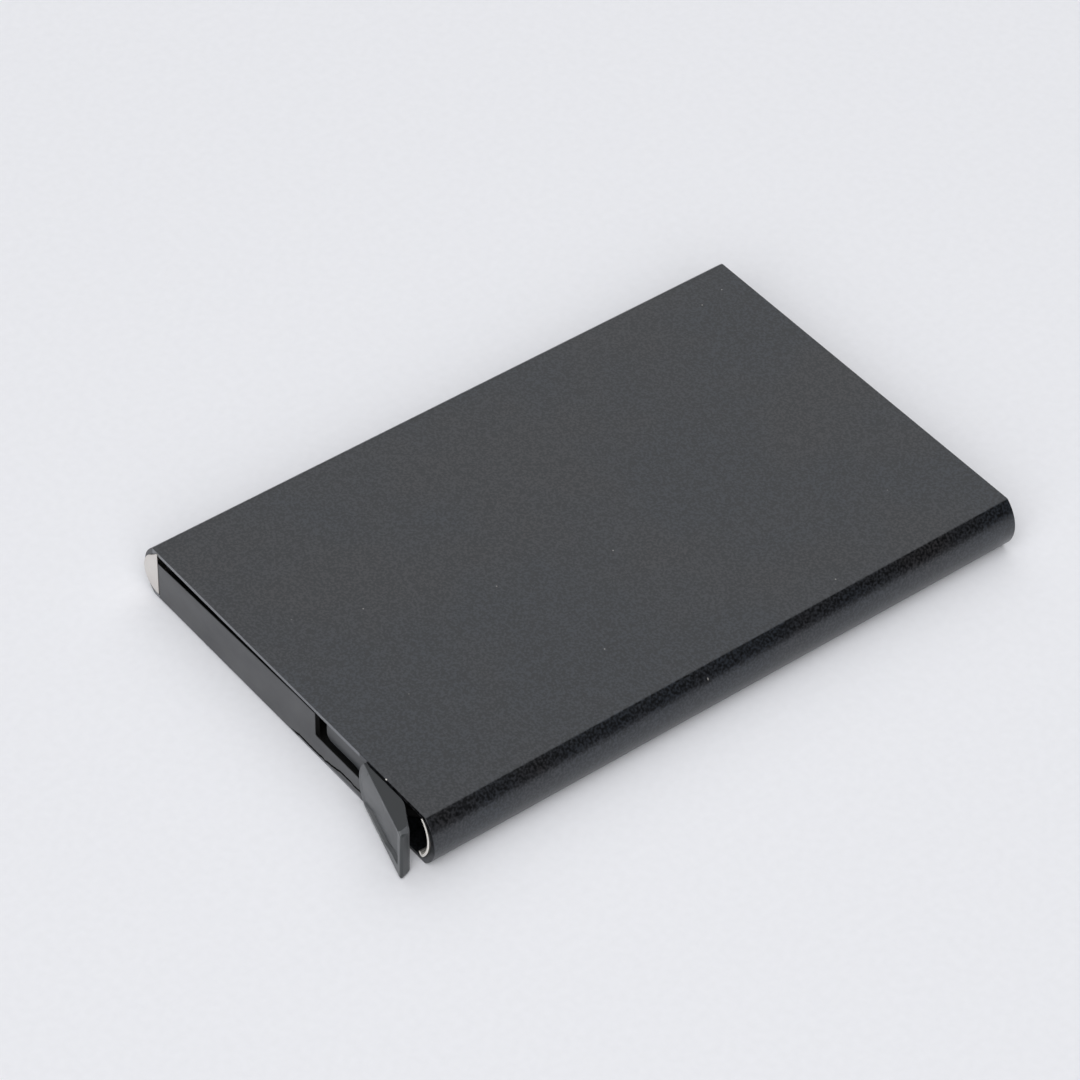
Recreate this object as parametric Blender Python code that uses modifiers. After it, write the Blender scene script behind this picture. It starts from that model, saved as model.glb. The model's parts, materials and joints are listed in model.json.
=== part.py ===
"""Pop-up card case: aluminium sleeve, moulded end cap and a flick-out lever that lifts the cards.

Frame: +Y runs along the sleeve towards the card mouth, +X runs across towards the lever's corner,
+Z is up. The origin is the centre of the sleeve's underside. Lengths are in metres.
"""
from math import asin, cos, pi, radians, sin

import bmesh
import bpy
from mathutils import Vector

MM = 0.001
GAP = 0.3 * MM                      # running clearance between neighbouring pieces

# Sleeve: a flat extruded tube with shallow arcs for its two long sides.
LENGTH = 95.0 * MM
THICKNESS = 8.2 * MM
FLAT_HALF_WIDTH = 29.5 * MM         # from the centre line to the crease where the side arc starts
SIDE_BULGE = 2.0 * MM
WALL = 0.6 * MM
SIDE_WALL = 0.9 * MM
END_Y = -LENGTH / 2                 # end that carries the cap and the lever
MOUTH_Y = LENGTH / 2                # end where the cards come out
MID_Z = THICKNESS / 2
SIDE_RADIUS = (MID_Z ** 2 + SIDE_BULGE ** 2) / (2 * SIDE_BULGE)
SIDE_CENTRE_X = FLAT_HALF_WIDTH + SIDE_BULGE - SIDE_RADIUS
CAVITY_LOW = WALL
CAVITY_HIGH = THICKNESS - WALL

# End cap: a front plate on a thin floor, which carries the lever's bearing.
PLATE_FRONT = END_Y + 0.1 * MM
PLATE_THICKNESS = 1.0 * MM
PLATE_BACK = PLATE_FRONT + PLATE_THICKNESS
PLATE_LEFT = -27.6 * MM
PLATE_LOW = CAVITY_LOW + GAP
PLATE_TOP_LEFT = 6.2 * MM           # the plate's top edge falls away towards the far side
PLATE_TOP = CAVITY_HIGH - GAP
PLATE_TOP_FROM_X = 3.0 * MM         # from here to the window the plate has its full height
WINDOW_X = 5.9 * MM                 # the neck of the lever swings in this window
SILL_TOP = 3.3 * MM
SILL_RIGHT = 20.0 * MM
FLOOR_TOP = 1.8 * MM
FLOOR_BACK = -38.5 * MM
FLOOR_RIGHT = 26.5 * MM
FLOOR_CORNER = 3.0 * MM
CHEEK_THICKNESS = 1.2 * MM
CHEEK_TOP = 6.0 * MM

# Lever: turns about a vertical pin, clockwise seen from above, and pushes the cards out.
PIVOT = Vector((14.0 * MM, -42.9 * MM, 0.0))
HUB_RADIUS = 3.2 * MM
BORE_RADIUS = 1.6 * MM
LEVER_LOW = FLOOR_TOP + GAP
LEVER_HIGH = CAVITY_HIGH - GAP
ARM_BACK = PLATE_BACK + 0.35 * MM
ARM_FRONT = -39.0 * MM
STEP_COUNT = 5
LONGEST_STEP = 33.0 * MM            # reach of the lowest step from the pin
SHORTEST_STEP = 13.0 * MM
BLOCK_LEFT = 6.8 * MM               # the arm's heel, seen through the window
BLOCK_LOW = 2.5 * MM
BLOCK_DEPTH = 1.6 * MM
NECK_LOW = SILL_TOP + GAP
HANDLE_LOW = 0.2 * MM
HANDLE_HIGH = THICKNESS - 0.2 * MM
HANDLE_BACK = END_Y - GAP           # the handle's back rests along the sleeve's end
HANDLE_NOSE = (16.4 * MM, -47.95 * MM)
HANDLE_OUTER_END = (29.9 * MM, -51.5 * MM)
HANDLE_OUTLINE = [                  # plan of the handle: nose, back, finger-nail cut, outer end
    HANDLE_NOSE,
    (16.6 * MM, HANDLE_BACK),
    (25.6 * MM, HANDLE_BACK),
    (29.5 * MM, -49.8 * MM),
    HANDLE_OUTER_END,
]
NOSE_RADIUS = 7.2 * MM              # the nose is rounded when seen from the front
HANDLE_CORNER = 0.6 * MM
DISH_DEPTH = 0.75 * MM
DISH_HALF_HEIGHT = 2.7 * MM
DISH_MID_Z = 5.2 * MM

# Pivot pin: a turned rivet with a flat head.
PIN_RADIUS = 1.3 * MM
PIN_HEAD_RADIUS = 2.2 * MM
PIN_HEAD_HEIGHT = 0.6 * MM
PIN_TOP = LEVER_HIGH - 0.2 * MM
PIN_LOW = PLATE_LOW
COUNTERBORE_RADIUS = PIN_HEAD_RADIUS + GAP

# Spring strips: steel liners on the side walls, with two bowed fingers each that grip the cards.
STRIP_THICKNESS = 0.3 * MM
STRIP_OUTER_RADIUS = SIDE_RADIUS - SIDE_WALL - GAP
STRIP_INNER_RADIUS = STRIP_OUTER_RADIUS - STRIP_THICKNESS
STRIP_HALF_ANGLE = radians(50)
STRIP_START_Y = END_Y + 0.3 * MM
STRIP_END_Y = MOUTH_Y - 1.0 * MM
FINGER_STARTS = (-30.0 * MM, 6.0 * MM)
FINGER_LENGTH = 26.0 * MM
FINGER_OVERRUN = 1.2                # the finger runs on past its crest and curls back
FINGER_HEIGHT = 3.0 * MM
FINGER_ROOT_X = 29.95 * MM
FINGER_BOW = 2.75 * MM
SLOT_HEIGHT = 3.8 * MM              # opening punched in the strip behind each finger
TAB_RADIUS = 3.25 * MM              # half-round end tab folded over the sleeve's end
TAB_CENTRE_X = -28.0 * MM
TAB_FRONT = END_Y - 0.6 * MM


def clear_scene():
    for obj in list(bpy.data.objects):
        bpy.data.objects.remove(obj, do_unlink=True)


def make_collection(name):
    collection = bpy.data.collections.new(name)
    bpy.context.scene.collection.children.link(collection)
    return collection


def material(name, colour, roughness, metallic):
    mat = bpy.data.materials.new(name)
    mat.use_nodes = True
    shader = mat.node_tree.nodes["Principled BSDF"]
    shader.inputs["Base Color"].default_value = (*colour, 1.0)
    shader.inputs["Roughness"].default_value = roughness
    shader.inputs["Metallic"].default_value = metallic
    return mat


def arc(centre, radius, start, end, segments):
    step = (end - start) / segments
    angles = [start + step * i for i in range(segments + 1)]
    return [(centre[0] + radius * cos(a), centre[1] + radius * sin(a)) for a in angles]


def extruded(name, loops, low, high, along, collection):
    """Solid from closed outlines: plan outlines stand along Z, section outlines (x, z) run along Y."""
    curve = bpy.data.curves.new(name, "CURVE")
    curve.dimensions = "2D"
    curve.fill_mode = "BOTH"
    curve.extrude = (high - low) / 2
    for points in loops:
        spline = curve.splines.new("POLY")
        spline.points.add(len(points) - 1)
        for point, (x, y) in zip(spline.points, points):
            point.co = (x, y, 0.0, 1.0)
        spline.use_cyclic_u = True
    guide = bpy.data.objects.new(name + "_outline", curve)
    collection.objects.link(guide)
    if along == "Z":
        guide.location = (0.0, 0.0, (low + high) / 2)
    else:
        guide.rotation_euler = (pi / 2, 0.0, 0.0)
        guide.location = (0.0, (low + high) / 2, 0.0)
    bpy.context.view_layer.update()
    mesh = bpy.data.meshes.new_from_object(guide.evaluated_get(bpy.context.evaluated_depsgraph_get()))
    mesh.transform(guide.matrix_world)
    mesh.name = name
    bpy.data.objects.remove(guide, do_unlink=True)
    bpy.data.curves.remove(curve)
    weld(mesh)
    solid = bpy.data.objects.new(name, mesh)
    collection.objects.link(solid)
    return solid


def weld(mesh):
    bm = bmesh.new()
    bm.from_mesh(mesh)
    bmesh.ops.remove_doubles(bm, verts=bm.verts, dist=0.00001)
    bmesh.ops.recalc_face_normals(bm, faces=bm.faces)
    bm.to_mesh(mesh)
    bm.free()


def cylinder(name, centre, radius, low, high, collection, segments=48):
    mesh = bpy.data.meshes.new(name)
    bm = bmesh.new()
    bmesh.ops.create_cone(bm, cap_ends=True, segments=segments, radius1=radius, radius2=radius,
                          depth=high - low)
    bmesh.ops.translate(bm, verts=bm.verts, vec=(centre[0], centre[1], (low + high) / 2))
    bm.to_mesh(mesh)
    bm.free()
    solid = bpy.data.objects.new(name, mesh)
    collection.objects.link(solid)
    return solid


def box(name, low, high, collection):
    outline = [(low[0], low[1]), (high[0], low[1]), (high[0], high[1]), (low[0], high[1])]
    return extruded(name, [outline], low[2], high[2], "Z", collection)


def boolean(target, tool, operation):
    modifier = target.modifiers.new(operation.lower() + "_" + tool.name, "BOOLEAN")
    modifier.operation = operation
    modifier.solver = "EXACT"
    modifier.object = tool
    tool.hide_render = True
    tool.display_type = "WIRE"


def finish(obj, mat):
    obj.data.materials.clear()
    obj.data.materials.append(mat)
    obj.data.shade_smooth()
    obj.data.set_sharp_from_angle(angle=radians(30))


def set_origin(obj, point):
    """Move the object's origin to a point without moving its shape."""
    obj.data.transform(obj.matrix_world.Translation(-point))
    obj.location = point


def tube_outline(radius, half_height, segments):
    """Section of a flat tube: two side arcs joined by straight top and bottom runs."""
    half_angle = asin(half_height / radius)
    right = arc((SIDE_CENTRE_X, MID_Z), radius, -half_angle, half_angle, segments)
    left = arc((-SIDE_CENTRE_X, MID_Z), radius, pi - half_angle, pi + half_angle, segments)
    return right + left


def make_sleeve(parts):
    outer = tube_outline(SIDE_RADIUS, MID_Z, 24)
    inner = tube_outline(SIDE_RADIUS - SIDE_WALL, MID_Z - WALL, 20)
    sleeve = extruded("sleeve", [outer, inner], END_Y, MOUTH_Y, "Y", parts)
    finish(sleeve, material("black_anodised_aluminium", (0.055, 0.060, 0.062), 0.5, 0.6))


def make_end_cap(parts, cutters):
    plate = [
        (PLATE_LEFT, PLATE_LOW),
        (SILL_RIGHT, PLATE_LOW),
        (SILL_RIGHT, SILL_TOP),
        (WINDOW_X, SILL_TOP),
        (WINDOW_X, PLATE_TOP),
        (PLATE_TOP_FROM_X, PLATE_TOP),
        (PLATE_LEFT, PLATE_TOP_LEFT),
    ]
    cap = extruded("end_cap", [plate], PLATE_FRONT, PLATE_BACK, "Y", parts)
    corner_x = FLOOR_RIGHT - FLOOR_CORNER
    corner_y = FLOOR_BACK - FLOOR_CORNER
    floor = [(PLATE_LEFT, FLOOR_BACK), (PLATE_LEFT, PLATE_FRONT), (SILL_RIGHT, PLATE_FRONT),
             (FLOOR_RIGHT, corner_y)]
    floor += arc((corner_x, corner_y), FLOOR_CORNER, 0.0, pi / 2, 8)[1:]
    floor_plate = extruded("cap_floor", [floor], PLATE_LOW, FLOOR_TOP, "Z", cutters)
    cheek = box("cap_cheek", (PLATE_LEFT, PLATE_FRONT, PLATE_LOW),
                (PLATE_LEFT + CHEEK_THICKNESS, FLOOR_BACK, CHEEK_TOP), cutters)
    pin_hole = cylinder("cap_pin_hole", PIVOT, BORE_RADIUS, PLATE_LOW - MM, FLOOR_TOP + MM, cutters)
    boolean(cap, floor_plate, "UNION")
    boolean(cap, cheek, "UNION")
    boolean(cap, pin_hole, "DIFFERENCE")
    finish(cap, material("black_moulded_plastic", (0.075, 0.078, 0.080), 0.45, 0.0))


def stair_outline():
    """Side view of the ejector arm: equal risers, each step reaching further than the one above."""
    rise = (LEVER_HIGH - LEVER_LOW) / STEP_COUNT
    run = (LONGEST_STEP - SHORTEST_STEP) / (STEP_COUNT - 1)
    points = [(PIVOT.x, LEVER_HIGH), (PIVOT.x, LEVER_LOW)]
    for i in range(STEP_COUNT):
        reach = PIVOT.x - LONGEST_STEP + run * i
        points.append((reach, LEVER_LOW + rise * i))
        points.append((reach, LEVER_LOW + rise * (i + 1)))
    return points


def make_lever(parts, cutters):
    """One moulding: stepped arm, heel, hub, neck and the handle outside the sleeve."""
    lever = extruded("eject_lever", [stair_outline()], ARM_BACK + BLOCK_DEPTH / 2, ARM_FRONT, "Y", parts)
    heel = box("lever_heel", (BLOCK_LEFT, ARM_BACK, BLOCK_LOW),
               (PIVOT.x, ARM_BACK + BLOCK_DEPTH, LEVER_HIGH), cutters)
    hub = cylinder("lever_hub", PIVOT, HUB_RADIUS, LEVER_LOW, LEVER_HIGH, cutters)
    neck_outline = [
        (PIVOT.x, ARM_BACK),
        (18.5 * MM, HANDLE_BACK - 0.4 * MM),
        (23.0 * MM, HANDLE_BACK - 0.4 * MM),
        (PIVOT.x + 3.0 * MM, PIVOT.y + 0.5 * MM),
        (PIVOT.x, PIVOT.y + 0.5 * MM),
    ]
    neck = extruded("lever_neck", [neck_outline], NECK_LOW, LEVER_HIGH, "Z", cutters)
    handle = make_handle(cutters)
    bore = cylinder("lever_bore", PIVOT, BORE_RADIUS, LEVER_LOW - MM, LEVER_HIGH + MM, cutters)
    head_seat = cylinder("lever_head_seat", PIVOT, COUNTERBORE_RADIUS,
                         PIN_TOP - PIN_HEAD_HEIGHT - GAP, LEVER_HIGH + MM, cutters)
    for solid in (heel, hub, neck, handle):
        boolean(lever, solid, "UNION")
    for hole in (bore, head_seat, dish_cutter(cutters)):
        boolean(lever, hole, "DIFFERENCE")
    set_origin(lever, PIVOT)
    finish(lever, material("grey_moulded_plastic", (0.11, 0.115, 0.12), 0.38, 0.0))


def make_handle(cutters):
    """Where the plan and the front outline of the handle agree."""
    handle = extruded("lever_handle", [HANDLE_OUTLINE], 0.0, THICKNESS, "Z", cutters)
    half_angle = asin((HANDLE_HIGH - MID_Z) / NOSE_RADIUS)
    right = HANDLE_OUTER_END[0] + GAP
    corner_x = right - HANDLE_CORNER
    front = arc((HANDLE_NOSE[0] + NOSE_RADIUS, MID_Z), NOSE_RADIUS, pi - half_angle, pi + half_angle, 14)
    front += arc((corner_x, HANDLE_LOW + HANDLE_CORNER), HANDLE_CORNER, -pi / 2, 0.0, 5)
    front += arc((corner_x, HANDLE_HIGH - HANDLE_CORNER), HANDLE_CORNER, 0.0, pi / 2, 5)
    front_solid = extruded("lever_handle_front", [front], HANDLE_OUTER_END[1] - MM, END_Y, "Y", cutters)
    boolean(handle, front_solid, "INTERSECT")
    return handle


def dish_cutter(cutters):
    """Squashed ball that hollows the handle's outer face for a fingertip."""
    nose = Vector((*HANDLE_NOSE, 0.0))
    outer = Vector((*HANDLE_OUTER_END, 0.0))
    along = (outer - nose).normalized()
    half_length = (outer - nose).length * 0.46
    middle = (nose + outer) / 2 + Vector((0.0, 0.0, DISH_MID_Z))
    mesh = bpy.data.meshes.new("lever_dish")
    bm = bmesh.new()
    bmesh.ops.create_uvsphere(bm, u_segments=40, v_segments=20, radius=1.0)
    bmesh.ops.scale(bm, verts=bm.verts, vec=(half_length, DISH_DEPTH, DISH_HALF_HEIGHT))
    bm.to_mesh(mesh)
    bm.free()
    dish = bpy.data.objects.new("lever_dish", mesh)
    dish.location = middle
    dish.rotation_euler = (0.0, 0.0, along.xy.angle_signed(Vector((1.0, 0.0))))
    cutters.objects.link(dish)
    return dish


def make_pin(parts):
    """Turned rivet: head on top, plain shank down through the lever and the cap's floor."""
    profile = [
        (0.0, PIN_TOP),
        (PIN_HEAD_RADIUS - 0.3 * MM, PIN_TOP),
        (PIN_HEAD_RADIUS, PIN_TOP - 0.3 * MM),
        (PIN_HEAD_RADIUS, PIN_TOP - PIN_HEAD_HEIGHT),
        (PIN_RADIUS, PIN_TOP - PIN_HEAD_HEIGHT),
        (PIN_RADIUS, PIN_LOW + 0.2 * MM),
        (PIN_RADIUS - 0.2 * MM, PIN_LOW),
        (0.0, PIN_LOW),
    ]
    mesh = bpy.data.meshes.new("pivot_pin")
    mesh.from_pydata([(r, 0.0, z) for r, z in profile], [(i, i + 1) for i in range(len(profile) - 1)], [])
    pin = bpy.data.objects.new("pivot_pin", mesh)
    pin.location = PIVOT
    parts.objects.link(pin)
    screw = pin.modifiers.new("turn", "SCREW")
    screw.axis = "Z"
    screw.steps = 40
    screw.render_steps = 40
    screw.use_merge_vertices = True
    screw.merge_threshold = 0.00001
    mesh.materials.append(material("steel_pin", (0.55, 0.54, 0.53), 0.3, 1.0))


def strip_section(side):
    """C-shaped section that follows the side wall; side is +1 near the lever and -1 away from it."""
    outer = arc((SIDE_CENTRE_X, MID_Z), STRIP_OUTER_RADIUS, -STRIP_HALF_ANGLE, STRIP_HALF_ANGLE, 14)
    inner = arc((SIDE_CENTRE_X, MID_Z), STRIP_INNER_RADIUS, STRIP_HALF_ANGLE, -STRIP_HALF_ANGLE, 14)
    return [(side * x, z) for x, z in outer + inner]


def finger_outline(start, side):
    """Plan of a bowed finger: it leaves the strip, crests at full bow, then curls back a little."""
    samples = 18
    centre_line = []
    for i in range(samples + 1):
        t = FINGER_OVERRUN * i / samples
        x = FINGER_ROOT_X - FINGER_BOW * 0.5 * (1.0 - cos(pi * t))
        centre_line.append((x, start + FINGER_LENGTH * t / FINGER_OVERRUN))
    half = STRIP_THICKNESS / 2
    wall_side = [(side * (x + half), y) for x, y in centre_line]
    card_side = [(side * (x - half), y) for x, y in reversed(centre_line)]
    return wall_side + card_side


def make_strip(name, side, start_y, parts, cutters):
    strip = extruded(name, [strip_section(side)], start_y, STRIP_END_Y, "Y", parts)
    edges = sorted((side * (FINGER_ROOT_X - 2.0 * MM), side * (FINGER_ROOT_X + 2.0 * MM)))
    for number, start in enumerate(FINGER_STARTS):
        slot = box(f"{name}_slot_{number}",
                   (edges[0], start + 1.5 * MM, MID_Z - SLOT_HEIGHT / 2),
                   (edges[1], start + FINGER_LENGTH + 1.0 * MM, MID_Z + SLOT_HEIGHT / 2), cutters)
        boolean(strip, slot, "DIFFERENCE")
    for number, start in enumerate(FINGER_STARTS):
        finger = extruded(f"{name}_finger_{number}", [finger_outline(start, side)],
                          MID_Z - FINGER_HEIGHT / 2, MID_Z + FINGER_HEIGHT / 2, "Z", cutters)
        boolean(strip, finger, "UNION")
    return strip


def make_spring_strips(parts, cutters):
    near = make_strip("spring_strip_near", 1, STRIP_START_Y, parts, cutters)
    far = make_strip("spring_strip_far", -1, TAB_FRONT + STRIP_THICKNESS / 2, parts, cutters)
    half_round = arc((TAB_CENTRE_X, MID_Z), TAB_RADIUS, pi / 2, 3 * pi / 2, 20)
    tab = extruded("tab_plate", [half_round], TAB_FRONT, TAB_FRONT + STRIP_THICKNESS, "Y", cutters)
    boolean(far, tab, "UNION")
    steel = material("stainless_spring_steel", (0.60, 0.58, 0.56), 0.28, 1.0)
    finish(near, steel)
    finish(far, steel.copy())


def main():
    clear_scene()
    parts = make_collection("card_case")
    cutters = make_collection("cutters")
    make_sleeve(parts)
    make_end_cap(parts, cutters)
    make_lever(parts, cutters)
    make_pin(parts)
    make_spring_strips(parts, cutters)


main()
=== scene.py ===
"""Looks of the pop-up card case: anodised sleeve, moulded cap and lever, bright steel liners.

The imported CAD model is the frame. Every visible piece here is a finer mesh that stands for a CAD
node and rides on that node's body. Lengths are in metres, in the frame of the CAD part.
"""

import json
from math import asin, cos, exp, pi, radians, sin

import bmesh
import bpy
from mathutils import Matrix, Vector, noise


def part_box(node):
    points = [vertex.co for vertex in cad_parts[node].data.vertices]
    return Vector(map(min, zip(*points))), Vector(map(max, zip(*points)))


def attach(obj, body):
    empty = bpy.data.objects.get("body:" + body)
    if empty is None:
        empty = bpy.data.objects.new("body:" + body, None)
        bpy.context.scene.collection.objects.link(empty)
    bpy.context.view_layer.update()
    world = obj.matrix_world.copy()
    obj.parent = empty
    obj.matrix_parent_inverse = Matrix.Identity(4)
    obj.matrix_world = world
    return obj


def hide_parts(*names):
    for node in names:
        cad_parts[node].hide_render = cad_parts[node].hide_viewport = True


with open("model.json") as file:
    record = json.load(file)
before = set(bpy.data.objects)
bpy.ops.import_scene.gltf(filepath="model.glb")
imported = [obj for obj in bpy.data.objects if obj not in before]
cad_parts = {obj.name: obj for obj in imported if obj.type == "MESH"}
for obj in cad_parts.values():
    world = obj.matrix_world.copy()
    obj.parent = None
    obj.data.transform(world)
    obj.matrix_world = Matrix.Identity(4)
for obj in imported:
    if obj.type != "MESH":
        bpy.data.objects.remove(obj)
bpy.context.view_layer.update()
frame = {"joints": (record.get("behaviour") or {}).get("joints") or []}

MM = 0.001
WELD = 0.001 * MM                    # points of a plate closer than this are joined

sleeve_low, sleeve_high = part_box("sleeve")
cap_low, cap_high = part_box("end_cap")
lever_low, lever_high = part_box("eject_lever")
pivot = Vector(frame["joints"][0]["pos_m"])

# Sleeve, from its CAD box.
END_Y = sleeve_low.y
MOUTH_Y = sleeve_high.y
THICKNESS = sleeve_high.z
MID_Z = THICKNESS / 2
SIDE_BULGE = 2.0 * MM
WALL = 0.6 * MM
SIDE_WALL = 0.9 * MM
SIDE_RADIUS = (MID_Z ** 2 + SIDE_BULGE ** 2) / (2 * SIDE_BULGE)
SIDE_CENTRE_X = sleeve_high.x - SIDE_RADIUS
CREASE_X = sleeve_high.x - SIDE_BULGE
CREASE_SOFTNESS = 0.16 * MM
CUT_EDGE = 0.09                      # rounding of the cut ends, as a share of the wall
WORN_AND_LIT_RIGHT = 16.0 * MM               # the cut ends are painted pale up to the lever, partly wear and partly a painted reflection; past it the handle's shade falls, and they keep the dark colour there as painted shade
CHIP = (21.5 * MM, END_Y, THICKNESS)  # spot on the end's top edge where the anodising is chipped
CHIP_RADIUS = 0.17 * MM
CAVITY_LOW = WALL
CAVITY_HIGH = THICKNESS - WALL


# --- mesh helpers -------------------------------------------------------------------------------

def new_object(name, bm):
    bmesh.ops.recalc_face_normals(bm, faces=bm.faces)
    mesh = bpy.data.meshes.new(name)
    bm.to_mesh(mesh)
    bm.free()
    obj = bpy.data.objects.new(name, mesh)
    bpy.context.scene.collection.objects.link(obj)
    return obj


def smooth(obj, angle=35.0):
    """Smooth shading that keeps flat faces flat between small rounded edges."""
    obj.data.shade_smooth()
    obj.data.set_sharp_from_angle(angle=radians(angle))
    modifier = obj.modifiers.new("flat_faces", "WEIGHTED_NORMAL")
    modifier.keep_sharp = True
    return obj


def smoothstep(value, start, length):
    """0 up to start, 1 from start + length on, and eased between; a negative length runs back."""
    t = min(max((value - start) / length, 0.0), 1.0)
    return t * t * (3.0 - 2.0 * t)


def arc(centre, radius, start, end, segments):
    step = (end - start) / segments
    angles = [start + step * i for i in range(segments + 1)]
    return [Vector((centre[0] + radius * cos(a), centre[1] + radius * sin(a))) for a in angles]


def softened(before, corner, after, setback, segments):
    """Points of a small rounded corner between two neighbouring directions."""
    a = corner + (before - corner).normalized() * setback
    c = corner + (after - corner).normalized() * setback
    points = []
    for i in range(segments + 1):
        t = i / segments
        points.append(a * (1 - t) ** 2 + corner * (2 * t * (1 - t)) + c * t ** 2)
    return points


def between(start, end, parts):
    """Evenly spaced points strictly between two ends."""
    return [start.lerp(end, i / parts) for i in range(1, parts)]


def rounded_outline(corners, segments=4):
    """Closed outline from (x, y, corner radius) triples."""
    points = []
    count = len(corners)
    for i, (x, y, setback) in enumerate(corners):
        before = Vector(corners[i - 1][:2])
        after = Vector(corners[(i + 1) % count][:2])
        corner = Vector((x, y))
        if setback > 0:
            points += softened(before, corner, after, setback, segments)
        else:
            points.append(corner)
    return points


def ring_grid(bm, rings, close_rings=False, close_points=True):
    """Quads between successive rings of points."""
    verts = [[bm.verts.new(p) for p in ring] for ring in rings]
    count = len(verts[0])
    for i in range(len(verts) if close_rings else len(verts) - 1):
        lower, upper = verts[i], verts[(i + 1) % len(verts)]
        for j in range(count if close_points else count - 1):
            k = (j + 1) % count
            bm.faces.new((lower[j], lower[k], upper[k], upper[j]))
    return verts


def plate(name, outline, low, high, edge, along="Z"):
    """Flat moulded or stamped plate with rounded edges: a plan along Z, or a front view along Y."""
    curve = bpy.data.curves.new(name, "CURVE")
    curve.dimensions = "2D"
    curve.fill_mode = "BOTH"
    curve.extrude = (high - low) / 2 - edge
    curve.bevel_depth = edge
    curve.bevel_resolution = 2
    curve.offset = -edge
    spline = curve.splines.new("POLY")
    spline.points.add(len(outline) - 1)
    for point, place in zip(spline.points, outline):
        point.co = (place[0], place[1], 0.0, 1.0)
    spline.use_cyclic_u = True
    guide = bpy.data.objects.new(name + "_outline", curve)
    bpy.context.scene.collection.objects.link(guide)
    if along == "Z":
        guide.location.z = (low + high) / 2
    else:
        guide.rotation_euler.x = pi / 2
        guide.location.y = (low + high) / 2
    bpy.context.view_layer.update()
    flat = bpy.data.meshes.new_from_object(guide.evaluated_get(bpy.context.evaluated_depsgraph_get()))
    flat.transform(guide.matrix_world)
    bpy.data.objects.remove(guide)
    bm = bmesh.new()
    bm.from_mesh(flat)
    bpy.data.meshes.remove(flat)
    bmesh.ops.remove_doubles(bm, verts=bm.verts, dist=WELD)
    return smooth(new_object(name, bm))


def lathe(name, profile, centre, segments=64):
    """Turned body from (radius, z) pairs that start and end on the axis."""
    bm = bmesh.new()
    rings = []
    for i in range(segments):
        a = 2 * pi * i / segments
        rings.append([Vector((centre.x + r * cos(a), centre.y + r * sin(a), z)) for r, z in profile])
    ring_grid(bm, rings, close_rings=True, close_points=False)
    bmesh.ops.remove_doubles(bm, verts=bm.verts, dist=0.1 * WELD)
    return smooth(new_object(name, bm))


# --- node material helpers ----------------------------------------------------------------------

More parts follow.
